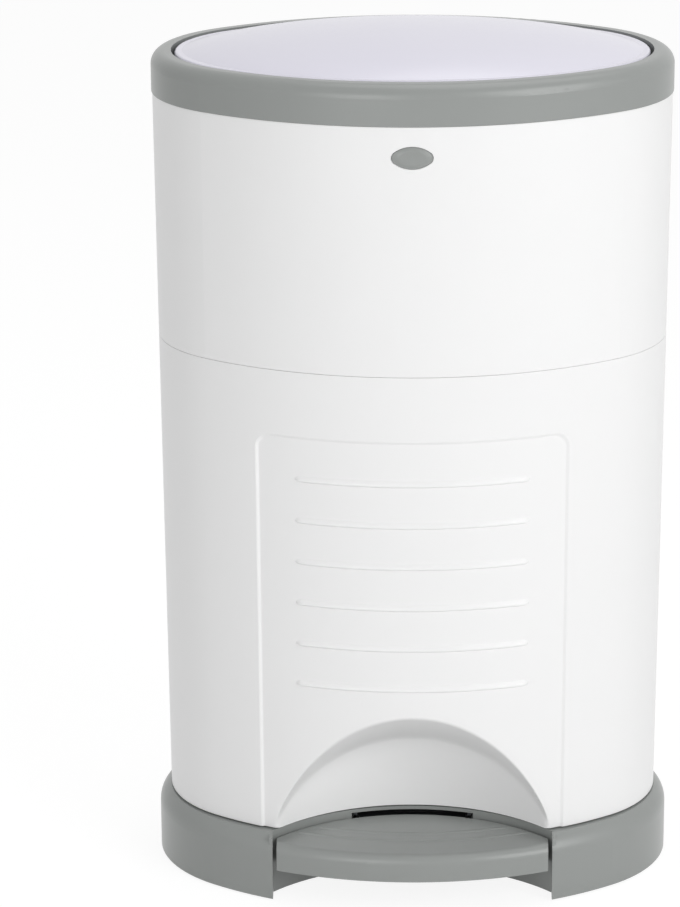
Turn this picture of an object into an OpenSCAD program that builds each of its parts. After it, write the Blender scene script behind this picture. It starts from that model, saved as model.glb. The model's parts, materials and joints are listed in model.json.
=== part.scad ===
// Pedal-operated nappy bin: an oval pail with a hinged front door, a tilting top
// frame, a domed lid and a pair of trap flaps under it.
// Millimetres, +Z up, the front faces -Y, the floor is Z = 0.
// Every oval here is four arcs whose centres form 3-4-5 triangles, so that an
// oval of half-axes a and b keeps its centres when it is offset in or out.

/* [Body] */
// Width of the body just under the rim
body_w = 430; // [400:1:470]
// Depth of the body just under the rim
body_d = 290; // [280:1:310]
// How much each side draws in from the rim down to the floor
body_taper = 5.5; // [1:0.5:8]
// Wall of the body and of the door
body_wall = 3.5; // [3:0.1:4.5]
// Height of the rim's lower edge above the floor
rim_z = 674; // [640:1:720]
// Height of the joint between the front door and the collar
seam_z = 466; // [440:1:490]
// Gap around the front door
door_gap = 1.0; // [0.8:0.1:1.6]

/* [Base] */
// Width of the base
base_w = 440; // [436:1:480]
// Depth of the base
base_d = 312; // [308:1:330]
// Height of the deck that carries the body
deck_z = 58; // [54:1:66]
// Thickness of the deck
deck_t = 3; // [2.5:0.1:4]
// Wall of the base skirt
base_wall = 3.5; // [3:0.1:4.5]
// Radius of the shoulder above the skirt
shoulder_r = 18; // [14:1:20]
// Height of the skirt's edge above the floor
skirt_z = 1.5; // [1:0.1:3]

/* [Foot recess] */
// Radius of the recess's upright back wall
recess_r = 156; // [145:1:165]
// Distance from the middle of the bin to the recess's back wall
recess_y = 61.4; // [58:0.2:68]
// Width of the recess
recess_w = 236; // [210:2:240]
// Radius of the recess's arched roof
roof_r = 130; // [125:1:136]
// Height of the roof's highest point at the front
roof_z = 169; // [160:1:180]
// Slope of the roof, in degrees
roof_slope = 30; // [24:1:34]
// Wall of the recess
recess_wall = 2.5; // [2:0.1:3.2]

/* [Door panel] */
// Width of the sunk panel
panel_w = 256; // [246:2:270]
// Height of the panel's upper edge
panel_z = 410; // [400:1:430]
// Depth of the sunk panel
panel_sink = 1.2; // [0.8:0.1:1.5]
// Corner radius of the panel
panel_r = 12; // [6:1:20]
// Number of raised ribs
rib_count = 6; // [3:1:6]
// Length of a rib
rib_w = 192; // [160:2:220]
// Height of the face of a rib
rib_h = 4; // [3:0.5:6]
// Height of the lowest rib
rib_z = 195; // [190:1:200]
// Spacing of the ribs
rib_pitch = 35.9; // [30:0.1:38]

/* [Door hinge and catch] */
// Radius of the bead that turns on the hinge pins
bead_r = 4.7; // [4:0.1:5]
// Distance from the middle of the bin back to the hinge line
hinge_y = 6; // [4:1:10]
// Gap in the wall beside the bead
bead_gap = 6.5; // [6:0.5:9]
// Radius of the hinge pins
door_pin_r = 2; // [1.6:0.1:2.4]
// Height of the catch
catch_z = 265; // [240:1:320]

/* [Pedal] */
// Gap around the pedal
pedal_gap = 3.5; // [3:0.1:5]
// Height of the pedal's underside
pedal_z = 28.5; // [26:0.5:30]
// Height of the pedal's top
pedal_top = 51.5; // [48:0.5:52]
// Radius of the pedal's front edge
pedal_edge_r = 8; // [5:0.5:10]
// Wall of the pedal
pedal_wall = 3; // [2.5:0.1:3.5]
// Height of the grip ridges above the pedal's top
ridge_h = 0.5; // [0.3:0.1:0.8]
// Radius that rounds the grip ridges
ridge_r = 8; // [5:0.5:12]
// Distance from the middle of the bin forward to the pedal's axle
axle_y = 10; // [6:1:14]
// Height of the axle
axle_z = 30; // [28:0.5:32]
// Radius of the axle
axle_r = 4; // [3:0.1:4.5]
// Length of the axle
axle_len = 122; // [118:1:140]
// Radius of the lever's hub
hub_r = 7.5; // [7:0.1:8.5]
// Thickness of the lever's plate
lever_t = 4; // [3:0.2:5]
// Width of the lever where it holds the pedal
lever_w = 92; // [80:1:96]

/* [Push rod] */
// Radius of the push rod
rod_r = 3; // [2.5:0.1:3.5]
// Distance from the middle of the bin back to the rod
rod_y = 104; // [102:0.5:105]
// Distance that the rod stops below the rim ledge
rod_drop = 1; // [0.6:0.1:2]

/* [Top frame] */
// Height of the rim
rim_h = 33; // [30:1:38]
// How far the rim stands out past the body
rim_proud = 0.8; // [0.4:0.1:1.5]
// Width of the rim, from its outside to its opening
rim_w = 16.8; // [16:0.2:18]
// Radius of the rim's outer top edge
rim_edge_r = 11; // [8:0.5:12]
// Wall of the rim
rim_wall = 3; // [2.5:0.1:3.5]
// Depth of the ledge below the rim's top
ledge_drop = 20; // [18:0.5:22]
// Width of the throat
throat_w = 240; // [230:2:250]
// Depth of the throat
throat_d = 124; // [116:2:128]
// Height of the throat's lower edge
throat_z = 640; // [636:1:644]
// Distance from the middle of the bin back to the frame's hinge
frame_hinge_y = 150; // [149:0.5:150.5]
// Distance from the rim's lower edge down to the frame's hinge
frame_hinge_drop = 8; // [7.5:0.5:10]
// Radius of the frame hinge's barrels
frame_barrel_r = 5.5; // [5:0.1:6]
// Radius of the frame hinge's pins
frame_pin_r = 2.5; // [2:0.1:3]

/* [Lid] */
// Gap between the rim and the lid
lid_gap = 3; // [2.5:0.1:4]
// Height of the lid's edge below the rim's top
lid_drop = 0.5; // [0:0.5:5]
// Height of the lid's crown above its edge
lid_crown = 19; // [10:1:22]
// Wall of the lid
lid_wall = 3; // [2.5:0.1:3.5]
// Height of the lid's side
lid_side = 7; // [6:0.5:8]
// Radius of the lid's hinge barrels
lid_barrel_r = 6; // [5.5:0.1:6.2]
// Distance from the middle of the bin back to the lid's hinge
lid_hinge_y = 116; // [115.5:0.1:116.5]
// Radius of the lid's hinge pins
lid_pin_r = 2; // [1.6:0.1:2.4]
// Width of the finger notch in the lid's front edge
notch_w = 90; // [60:2:110]

/* [Trap flaps] */
// Thickness of a flap
flap_t = 3; // [2:0.1:3.5]
// Radius of a flap's hinge barrel
flap_barrel_r = 4; // [3.5:0.1:4.5]
// Radius of the flaps' pins
flap_pin_r = 2; // [1.5:0.1:2.2]

/* [Release button] */
// Width of the button
button_w = 33; // [28:0.5:38]
// Height of the button's face
button_h = 18; // [15:0.5:20]
// Height of the button above the floor
button_z = 648.6; // [642:0.2:652]
// How far the button travels
button_travel = 3.5; // [3:0.1:4]

/* [Refill cassette] */
// Height of the shelf that the cassette stands on
tray_z = 566; // [560:1:570]
// Thickness of the shelf
tray_t = 4; // [3:0.2:5]
// Height of the cassette
cassette_h = 60; // [50:1:62]
// Width of the cassette
cassette_w = 400; // [390:2:404]
// Depth of the cassette
cassette_d = 192; // [180:2:194]
// Wall of the cassette
cassette_wall = 2; // [1.6:0.1:2.4]

/* [Hidden] */
$fn = 96;

white = [0.93, 0.93, 0.94];
grey = [0.56, 0.58, 0.57];
dark = [0.2, 0.2, 0.21];
steel = [0.75, 0.76, 0.78];

// Clearances
fit = 0.03;      // a pin in its bore
seat = 0.3;      // pieces that lie close to each other
slack = 0.5;     // pieces that drop in loosely
eps = 0.5;       // a cut's run past the face that it opens

a0 = body_w / 2;
b0 = body_d / 2;
ab = base_w / 2;
bb = base_d / 2;

// How far the body's outside lies inside its outline at the rim, at a height z
function inset(z) = body_taper * (rim_z - z) / rim_z;
lean = atan(body_taper / rim_z);

// Y of the front of an oval at a distance x from the middle
function oval_y(a, b, x) = sqrt(pow(b + 2 * (a - b), 2) - x * x) - 2 * (a - b);

/* ---- shared shapes ---- */

// The sector of an oval's right end, as a flat area
module end_wedge(s, reach) {
  polygon([[1.5 * s, 0], [1.5 * s + 3 * reach, 4 * reach], [1.5 * s + 3 * reach, -4 * reach]]);
}

// The sector of an oval's front, as a flat area
module front_wedge(s, reach) {
  polygon([
    [1.5 * s, 0],
    [1.5 * s + 3 * reach, -4 * reach],
    [-1.5 * s - 3 * reach, -4 * reach],
    [-1.5 * s, 0]
  ]);
}

// A flat oval of half-axes a and b
module oval_area(a, b) {
  s = a - b;
  for (turn = [0, 180]) rotate(turn) {
    intersection() {
      translate([1.5 * s, 0]) circle(a - 1.5 * s);
      end_wedge(s, a);
    }
    intersection() {
      translate([0, 2 * s]) circle(b + 2 * s);
      front_wedge(s, a);
    }
  }
}

module oval_prism(a, b, z0, z1) {
  translate([0, 0, z0]) linear_extrude(z1 - z0) oval_area(a, b);
}

// Sweeps a profile around an oval: the profile's x is the distance out from the
// oval and its y is the height
module around(a, b, z0 = -10, z1 = 800) {
  s = a - b;
  for (turn = [0, 180]) rotate([0, 0, turn]) {
    intersection() {
      translate([1.5 * s, 0, 0]) rotate_extrude() translate([a - 1.5 * s, 0]) children();
      translate([0, 0, z0]) linear_extrude(z1 - z0) end_wedge(s, a);
    }
    intersection() {
      translate([0, 2 * s, 0]) rotate_extrude() translate([b + 2 * s, 0]) children();
      translate([0, 0, z0]) linear_extrude(z1 - z0) front_wedge(s, a);
    }
  }
}

// The profile of the body's leaning wall, from d0 to d1 outside its surface
module wall_profile(z0, z1, d0, d1) {
  polygon([
    [d0 - inset(z0), z0],
    [d1 - inset(z0), z0],
    [d1 - inset(z1), z1],
    [d0 - inset(z1), z1]
  ]);
}

module box(x0, x1, y0, y1, z0, z1) {
  translate([x0, y0, z0]) cube([x1 - x0, y1 - y0, z1 - z0]);
}

// A rectangle with round corners, on the origin
module round_rect(w, h, r) {
  square([w, h - 2 * r], center = true);
  square([w - 2 * r, h], center = true);
  for (x = [-1, 1], y = [-1, 1]) translate([x * (w / 2 - r), y * (h / 2 - r)]) circle(r);
}

// Turns a flat shape to stand facing the front, from y0 back to y1
module facing(y0, y1) {
  translate([0, y1, 0]) rotate([90, 0, 0]) linear_extrude(y1 - y0) children();
}

// A bar along X
module bar_x(r, x0, x1, y, z) {
  translate([x0, y, z]) rotate([0, 90, 0]) cylinder(r = r, h = x1 - x0);
}

// A bar along Y
module bar_y(r, y0, y1, x, z) {
  translate([x, y0, z]) rotate([-90, 0, 0]) cylinder(r = r, h = y1 - y0);
}

// A coil spring that stands on the origin
module coil(r, wire, h, turns, sides = 6, steps = 16) {
  n = turns * steps;
  points = [
    for (i = [0:n], k = [0:sides - 1])
      let (t = 360 * i / steps, p = 360 * k / sides, q = r + wire / 2 * cos(p))
      [q * cos(t), q * sin(t), wire / 2 + (h - wire) * i / n + wire / 2 * sin(p)]
  ];
  faces = concat(
    [[for (k = [0:sides - 1]) k]],
    [
      for (i = [0:n - 1], k = [0:sides - 1])
        let (m = (k + 1) % sides)
        [i * sides + k, (i + 1) * sides + k, (i + 1) * sides + m, i * sides + m]
    ],
    [[for (k = [sides - 1:-1:0]) n * sides + k]]
  );
  polyhedron(points, faces);
}

/* ---- foot recess, shared by the base and the door ---- */

// The upright well, grown by g on every side
module recess_well(g, z0, z1) {
  intersection() {
    translate([0, -recess_y - recess_r, z0]) cylinder(r = recess_r + g, h = z1 - z0);
    box(-recess_w / 2 - g, recess_w / 2 + g, -b0 - 40, 0, z0, z1);
  }
}

// The well under its sloping arched roof, grown by g on every side
module recess_scoop(g, z0) {
  front_y = b0 - inset(roof_z);
  intersection() {
    recess_well(g, z0, roof_z + 40);
    translate([0, -front_y, roof_z - roof_r / cos(roof_slope)])
      rotate([-90 - roof_slope, 0, 0])
        cylinder(r = roof_r + g, h = 4 * recess_y + b0, center = true);
  }
}

/* ---- base ---- */

well_wall = base_wall - 0.5;
arm_slot_w = lever_w + 12;
arm_slot_z0 = 16;
arm_slot_z1 = deck_z - deck_t;
bracket_x = lever_w / 2 + 5;
bracket_t = 6;
foot_r = 9;
foot_h = 5;
screw_in = 30;
screw_y = 40;
screw_r = 2;
bush_l = 8;

// Where the four screws that hold the body to the base stand
module at_screws() {
  for (x = [-1, 1]) translate([x * (a0 - screw_in), screw_y, 0]) children();
  for (x = [-1, 1]) translate([x * 90, b0 - 38, 0]) children();
}

// Where the four feet sit
module at_feet() {
  for (x = [-1, 1]) {
    translate([x * (ab - 55), 90 - bb, 0]) children();
    translate([x * (ab - 90), bb - 56, 0]) children();
  }
}

// The skirt's section and its round shoulder, as deep inside as w
module skirt_area(w, top) {
  shoulder_z = top - shoulder_r * sin(62);
  translate([-30, skirt_z - eps]) square([30 - w, shoulder_z - skirt_z + eps]);
  intersection() {
    translate([-shoulder_r, shoulder_z]) circle(shoulder_r - w);
    translate([-shoulder_r, shoulder_z - eps]) square([shoulder_r, top - w - shoulder_z + eps]);
  }
  translate([-30, shoulder_z - eps])
    square([30 - shoulder_r + eps, top - w - shoulder_z + eps]);
}

module base() color(grey) {
  difference() {
    union() {
      around(ab, bb, 0, deck_z + 5) difference() {
        intersection() {
          skirt_area(0, deck_z);
          translate([-30, skirt_z]) square([40, deck_z - skirt_z]);
        }
        skirt_area(base_wall, deck_z);
      }
      oval_prism(ab - shoulder_r, bb - shoulder_r, deck_z - deck_t, deck_z);
      intersection() {
        recess_well(well_wall, skirt_z, deck_z);
        oval_prism(ab - base_wall / 2, bb - base_wall / 2, skirt_z, deck_z - 1);
      }
      for (x = [-1, 1])
        translate([x * (bracket_x + bracket_t / 2) - bracket_t / 2, -axle_y - 11, axle_z - 10])
          cube([bracket_t, 22, deck_z - deck_t / 2 - axle_z + 10]);
      at_screws() translate([0, 0, deck_z - 16]) cylinder(r = 6, h = 15);
      at_feet() translate([0, 0, foot_h - 1.5]) cylinder(r = foot_r + 3, h = deck_z - foot_h);
      hinge_line() cylinder(r = 5, h = 14);
      translate([0, rod_y, deck_z - bush_l]) cylinder(r = 10, h = bush_l - 1);
    }
    recess_well(0, -eps, deck_z + eps);
    box(-arm_slot_w / 2, arm_slot_w / 2, -recess_y - 20, -recess_y + 20, arm_slot_z0, arm_slot_z1);
    bar_x(axle_r + fit, -axle_len, axle_len, -axle_y, axle_z);
    at_screws() translate([0, 0, deck_z - 30]) cylinder(r = screw_r + seat, h = 40);
    at_screws() translate([0, 0, deck_z - 30]) cylinder(r = 4.5, h = 20);
    at_feet() translate([0, 0, -eps]) cylinder(r = foot_r + 0.1, h = foot_h + eps);
    hinge_line() translate([0, 0, -4]) cylinder(r = door_pin_r + fit, h = 30);
    translate([0, rod_y, 0]) cylinder(r = 6 + fit, h = deck_z + eps);
  }
}

module rubber_feet() color(dark) {
  at_feet() cylinder(r = foot_r, h = foot_h);
}

module base_screws() color(steel) {
  at_screws() {
    translate([0, 0, deck_z - 13]) cylinder(r = 4, h = 3);
    translate([0, 0, deck_z - 10 - eps]) cylinder(r = screw_r, h = 19);
  }
}

/* ---- door hinge line, leaning with the wall ---- */

door_z0 = deck_z + door_gap + 0.2;
door_z1 = seam_z - door_gap / 2;
collar_z = seam_z + door_gap / 2;
bead_in = bead_r + 0.3;
split_y = hinge_y + bead_gap;

// Stands children on the hinge line, 10 mm below the deck's top
module hinge_line() {
  z0 = deck_z - 14;
  translate([-(a0 - inset(z0) - bead_in), hinge_y, z0]) rotate([0, -lean, 0]) children();
}
hinge_top = (collar_z - deck_z + 14) / cos(lean);
hinge_low = (door_z0 - deck_z + 14) / cos(lean);
pin_len = 24;

module door_hinge_pins() color(steel) {
  hinge_line() translate([0, 0, hinge_low - 10]) cylinder(r = door_pin_r, h = pin_len);
  hinge_line() translate([0, 0, hinge_top - 16]) cylinder(r = door_pin_r, h = pin_len);
}

/* ---- body shell ---- */

flange_w = 22;
ledge_w = 9;
boss_h = 12;
frame_hinge_z = rim_z - frame_hinge_drop;
lug_x0 = 38;
lug_x1 = 50;
body_top = rim_z - 0.4;

// Keeps only what lies within the body's inner wall, less g
module inside_body(g, z0, z1) {
  intersection() {
    oval_prism(a0 - inset(z0) - body_wall - g, b0 - inset(z0) - body_wall - g, z0, z1);
    children();
  }
}

module body_shell() color(white) {
  difference() {
    union() {
      difference() {
        around(a0, b0, deck_z - 1, rim_z + 1)
          wall_profile(deck_z, body_top, -body_wall, 0);
        box(-a0 - 9, a0 + 9, -b0 - 9, split_y, deck_z - 2, collar_z);
      }
      // foot flange, screwed to the deck
      difference() {
        oval_prism(a0 - inset(deck_z) - 1, b0 - inset(deck_z) - 1, deck_z, deck_z + 3);
        oval_prism(a0 - flange_w, b0 - flange_w, deck_z - 1, deck_z + 4);
        box(-a0 - 9, a0 + 9, -b0 - 9, split_y, deck_z - 2, deck_z + 5);
      }
      at_screws() translate([0, 0, deck_z]) cylinder(r = 6, h = boss_h);
      // flange above the door
      difference() {
        oval_prism(a0 - inset(collar_z) - 1, b0 - inset(collar_z) - 1, collar_z, collar_z + 3);
        oval_prism(a0 - flange_w, b0 - flange_w, collar_z - 1, collar_z + 4);
      }
      hinge_line() translate([0, 0, hinge_top]) cylinder(r = bead_r - 0.5, h = 12);
      // ledge under the shelf
      difference() {
        oval_prism(a0 - inset(tray_z) - 1, b0 - inset(tray_z) - 1, tray_z - 3, tray_z);
        oval_prism(
          a0 - body_wall - ledge_w, b0 - body_wall - ledge_w, tray_z - 4, tray_z + 1
        );
      }
      // lugs of the top frame's hinge
      for (x = [-1, 1]) scale([x, 1, 1]) {
        bar_x(frame_barrel_r, lug_x0, lug_x1, frame_hinge_y, frame_hinge_z);
        box(
          lug_x0, lug_x1, oval_y(a0, b0, lug_x1) - body_wall + 1, frame_hinge_y,
          frame_hinge_z - frame_barrel_r, frame_hinge_z + 2
        );
      }
    }
    facing(-b0 - 9, -b0 + 20) translate([0, button_z])
      oval_area(button_w / 2 + 0.4, button_h / 2 + 0.4);
    for (x = [-1, 1]) scale([x, 1, 1])
      bar_x(frame_pin_r + fit, lug_x0 - 1, lug_x1 + 1, frame_hinge_y, frame_hinge_z);
    at_screws() translate([0, 0, deck_z - 1]) cylinder(r = screw_r + fit, h = boss_h + 2);
    hinge_line() translate([0, 0, hinge_top - 1]) cylinder(r = door_pin_r + fit, h = 11);
  }
}

/* ---- front door ---- */

catch_x = a0 - 25;
catch_h = 30;

// The door's front as a flat outline, grown by g
module panel_area(g) {
  translate([0, (panel_z + deck_z) / 2 - 20])
    round_rect(panel_w + 2 * g, panel_z - deck_z + 40, panel_r + g);
}

module front_door() color(white) {
  rib_top = rib_z + (rib_count - 1) * rib_pitch + rib_h;
  difference() {
    union() {
      difference() {
        around(a0, b0, deck_z - 1, seam_z + 1)
          wall_profile(door_z0, door_z1, -body_wall, 0);
        // everything behind the door's edges
        box(-a0 - 9, a0 + 9, split_y - door_gap, b0 + 9, deck_z - 1, seam_z + 1);
        box(-a0 - 9, 0, hinge_y, split_y, deck_z - 1, seam_z + 1);
        // sunk panel
        intersection() {
          around(a0, b0, deck_z - 1, seam_z + 1)
            wall_profile(deck_z - 1, seam_z, -panel_sink, 5);
          facing(-b0 - 9, -b0 + 60) panel_area(0);
        }
      }
      // ribs on the panel
      intersection() {
        around(a0, b0, deck_z - 1, seam_z + 1) for (i = [0:rib_count - 1])
          wall_profile(
            rib_z + i * rib_pitch - rib_h / 2, rib_z + i * rib_pitch + rib_h / 2,
            -body_wall / 2, -0.05
          );
        box(-rib_w / 2, rib_w / 2, -b0 - 9, 0, deck_z, rib_top);
      }
      // shell of the foot recess
      intersection() {
        recess_scoop(recess_wall, door_z0);
        oval_prism(
          a0 - inset(door_z0) - body_wall / 2, b0 - inset(door_z0) - body_wall / 2,
          door_z0, roof_z + 30
        );
      }
      // hinge bead
      hinge_line() translate([0, 0, hinge_low]) cylinder(r = bead_r, h = hinge_top - hinge_low - 1);
      // tab for the catch
      inside_body(-body_wall / 2, catch_z - catch_h / 2, catch_z + catch_h / 2)
        box(catch_x, a0, hinge_y - 1, split_y - 3, catch_z - catch_h / 2, catch_z + catch_h / 2);
    }
    recess_scoop(0, deck_z);
    hinge_line() translate([0, 0, hinge_low - 1]) cylinder(r = door_pin_r + fit, h = 17);
    hinge_line() translate([0, 0, hinge_top - 18]) cylinder(r = door_pin_r + fit, h = 20);
  }
}

module door_strike() color(steel) {
  box(
    catch_x + 2, catch_x + 14, split_y - 3, split_y - 1.6,
    catch_z - catch_h / 2 + 3, catch_z + catch_h / 2 - 3
  );
}

module door_catch() color(dark) {
  inside_body(0.15, catch_z - catch_h / 2, catch_z + catch_h / 2)
    box(catch_x, a0, split_y - 1.2, split_y + 14, catch_z - catch_h / 2, catch_z + catch_h / 2);
}

cutter_x = 70;
cutter_w = 60;
cutter_z = 424;
cutter_h = 22;

module cutter_guard() color(grey) {
  difference() {
    inside_body(0.2, cutter_z, cutter_z + cutter_h)
      box(cutter_x - cutter_w / 2, cutter_x + cutter_w / 2, -b0, -b0 + 40, cutter_z, cutter_z + cutter_h);
    box(cutter_x - cutter_w / 2 + 8, cutter_x + cutter_w / 2 - 8, -b0, -b0 + 60, cutter_z + 6, cutter_z + 12);
    box(cutter_x - 10, cutter_x - 9, -b0 + 24, -b0 + 36, cutter_z + 4, cutter_z + 14);
  }
}

module cutter_blade() color(steel) {
  box(cutter_x - 9.9, cutter_x - 9.1, -b0 + 25, -b0 + 35, cutter_z + 4.1, cutter_z + 13.9);
}

/* ---- pedal ---- */

plate_top = pedal_top - pedal_wall - 1;
ridge_in = [34, 50];
lever_y0 = -118;
pad_y = 112;
pad_top = 30;
pedal_screw_y = -96;

// The pedal's plan, drawn in by g
module pedal_plan(g) {
  intersection() {
    recess_well(-pedal_gap - g, 0, deck_z);
    oval_prism(ab - g, bb - g, 0, deck_z);
  }
}

module pedal() color(grey) {
  difference() {
    intersection() {
      pedal_plan(0);
      union() {
        oval_prism(ab - pedal_edge_r, bb - pedal_edge_r, pedal_z, pedal_top);
        around(ab, bb, 0, deck_z) {
          translate([-pedal_edge_r - 3, pedal_z])
            square([pedal_edge_r + 3, pedal_top - pedal_edge_r - pedal_z]);
          intersection() {
            translate([-pedal_edge_r, pedal_top - pedal_edge_r]) circle(pedal_edge_r);
            translate([-pedal_edge_r - eps, pedal_top - pedal_edge_r - eps])
              square(pedal_edge_r + 2 * eps);
          }
        }
      }
    }
    difference() {
      intersection() {
        pedal_plan(pedal_wall);
        box(-ab, ab, -bb, 0, 0, plate_top);
      }
      for (x = [-1, 1]) translate([x * 30, pedal_screw_y, pedal_z]) cylinder(r = 5, h = 40);
    }
    // room for the lever
    box(
      -lever_w / 2 - 0.5, lever_w / 2 + 0.5, lever_y0 - 0.5, 0,
      pedal_z - 1, plate_top
    );
    for (x = [-1, 1]) translate([x * 30, pedal_screw_y, plate_top - 1])
      cylinder(r = 1.5 + fit, h = 3);
  }
  // grip ridges, low and rounded
  intersection() {
    pedal_plan(3);
    around(ab, bb, 0, deck_z) for (d = ridge_in) intersection() {
      translate([-d, pedal_top + ridge_h - ridge_r]) circle(ridge_r);
      translate([-d - ridge_r, pedal_top - 0.5]) square([2 * ridge_r, 0.5 + ridge_h]);
    }
  }
}

module pedal_lever() color(dark) {
  difference() {
    union() {
      box(-lever_w / 2, lever_w / 2, lever_y0, -50, plate_top - lever_t, plate_top);
      for (x = [-1, 1]) translate([x * (lever_w / 2 - 3) - 3, 0, 0])
        rotate([90, 0, 90]) linear_extrude(6) polygon([
          [-76, plate_top], [-76, plate_top - 9], [-axle_y - 4, axle_z - hub_r],
          [-axle_y + 3, axle_z - hub_r], [-axle_y + 3, axle_z + hub_r - 1], [-48, plate_top]
        ]);
      bar_x(hub_r, -lever_w / 2 - 2, lever_w / 2 + 2, -axle_y, axle_z);
      translate([-10, 0, 0]) rotate([90, 0, 90]) linear_extrude(20) polygon([
        [-axle_y, axle_z - hub_r + 1], [pad_y, pad_top - 7], [pad_y, pad_top],
        [pad_y - 20, pad_top], [-axle_y, axle_z + hub_r - 2]
      ]);
    }
    bar_x(axle_r + fit, -lever_w, lever_w, -axle_y, axle_z);
    for (x = [-1, 1]) translate([x * 30, pedal_screw_y, plate_top - 20])
      cylinder(r = 1.5 + seat, h = 40);
  }
}

module pedal_screws() color(steel) {
  for (x = [-1, 1]) translate([x * 30, pedal_screw_y, plate_top - lever_t - 2]) {
    cylinder(r = 3.5, h = 2);
    cylinder(r = 1.5, h = lever_t + 3.5);
  }
}

module pedal_axle() color(steel) {
  bar_x(axle_r, -axle_len / 2, axle_len / 2, -axle_y, axle_z);
}

module axle_clips() color(dark) {
  clip_x = bracket_x + bracket_t;
  for (x = [-1, 1]) scale([x, 1, 1]) difference() {
    bar_x(axle_r + 3, clip_x, clip_x + 1.5, -axle_y, axle_z);
    bar_x(axle_r + fit, clip_x - 1, clip_x + 3, -axle_y, axle_z);
  }
}

spring_y = 66;

// Top of the lever's arm at a distance y behind the middle of the bin
function arm_top(y) = let (z0 = axle_z + hub_r - 2)
  z0 + (pad_top - z0) * (y + axle_y) / (pad_y - 20 + axle_y);

module pedal_spring() color(steel) {
  z0 = arm_top(spring_y - 8) + seat;
  translate([0, spring_y, z0]) coil(7, 1.4, deck_z - deck_t - seat - z0, 6);
}

/* ---- push rod ---- */

ledge_top = rim_z + rim_h - ledge_drop;
ledge_z = ledge_top - rim_wall;

module push_rod() color(steel) {
  translate([0, rod_y, pad_top + seat]) cylinder(r = rod_r, h = ledge_z - rod_drop - pad_top - seat);
}

module rod_bushing() color(dark) {
  translate([0, rod_y, 0]) difference() {
    union() {
      translate([0, 0, deck_z - bush_l]) cylinder(r = 6, h = bush_l);
      translate([0, 0, deck_z]) cylinder(r = 9, h = 2);
    }
    cylinder(r = rod_r + 0.05, h = deck_z + 10);
  }
}

module rod_guides() color(grey) {
  for (z = [seam_z - 226, seam_z - 36]) difference() {
    inside_body(0.05, z, z + 5) union() {
      box(-9, 9, rod_y, b0, z, z + 5);
      translate([0, rod_y, z]) cylinder(r = 9, h = 5);
    }
    translate([0, rod_y, z - 1]) cylinder(r = rod_r + 0.05, h = 10);
  }
}

/* ---- cassette and its shelf ---- */

opening_w = throat_w + 4;
opening_d = throat_d;
cassette_z = tray_z + tray_t;

module cassette_tray() color(grey) {
  difference() {
    oval_prism(
      a0 - inset(tray_z) - body_wall - slack, b0 - inset(tray_z) - body_wall - slack,
      tray_z, cassette_z
    );
    translate([0, 0, tray_z - 1]) linear_extrude(tray_t + 2) round_rect(opening_w, opening_d, 12);
    translate([0, rod_y, tray_z - 1]) cylinder(r = rod_r + 2, h = tray_t + 2);
  }
}

// The cassette's outline, drawn in by g
module cassette_area(g) {
  difference() {
    intersection() {
      oval_area(cassette_w / 2 - g, cassette_w / 2 - 92 - g);
      square([cassette_w, cassette_d - 2 * g], center = true);
    }
    round_rect(opening_w + 12 + 2 * g, opening_d + 8 + 2 * g, 12);
  }
}

module refill_cassette() color(white) {
  translate([0, 0, cassette_z]) difference() {
    linear_extrude(cassette_h) cassette_area(0);
    translate([0, 0, cassette_wall]) linear_extrude(cassette_h) cassette_area(cassette_wall);
  }
}

module film_pack() color([0.8, 0.86, 0.9]) {
  translate([0, 0, cassette_z + cassette_wall + seat])
    linear_extrude(cassette_h - cassette_wall - 6) cassette_area(cassette_wall + seat);
}

module cassette_cover() color(grey) {
  translate([0, 0, cassette_z + cassette_h]) linear_extrude(2) cassette_area(0);
}

/* ---- top frame ---- */

rim_top = rim_z + rim_h;
rim_in = rim_w - rim_proud;
ear_x = [[26, 37], [51, 62]];
flap_axis_x = throat_w / 2 - 7;
flap_axis_z = throat_z + 5;
lid_axis_z = rim_top - lid_drop + 1 - lid_barrel_r;
lug_x = 26;
lug_t = 8;
catch_tab_y = -b0 + 13;
cover_x = 53;
cover_in = 11;
cover_gap = 1;

// The rim's section, drawn in by g
module rim_area(g) {
  x0 = -rim_in + g;
  x1 = rim_proud - g;
  r = rim_edge_r - g;
  top = rim_top - g;
  translate([x0, rim_z]) square([x1 - x0, top - r - rim_z]);
  translate([x0, rim_z]) square([x1 - r - x0, top - rim_z]);
  intersection() {
    translate([x1 - r, top - r]) circle(r);
    translate([x1 - r - eps, top - r - eps]) square(r + 2 * eps);
  }
}

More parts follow.
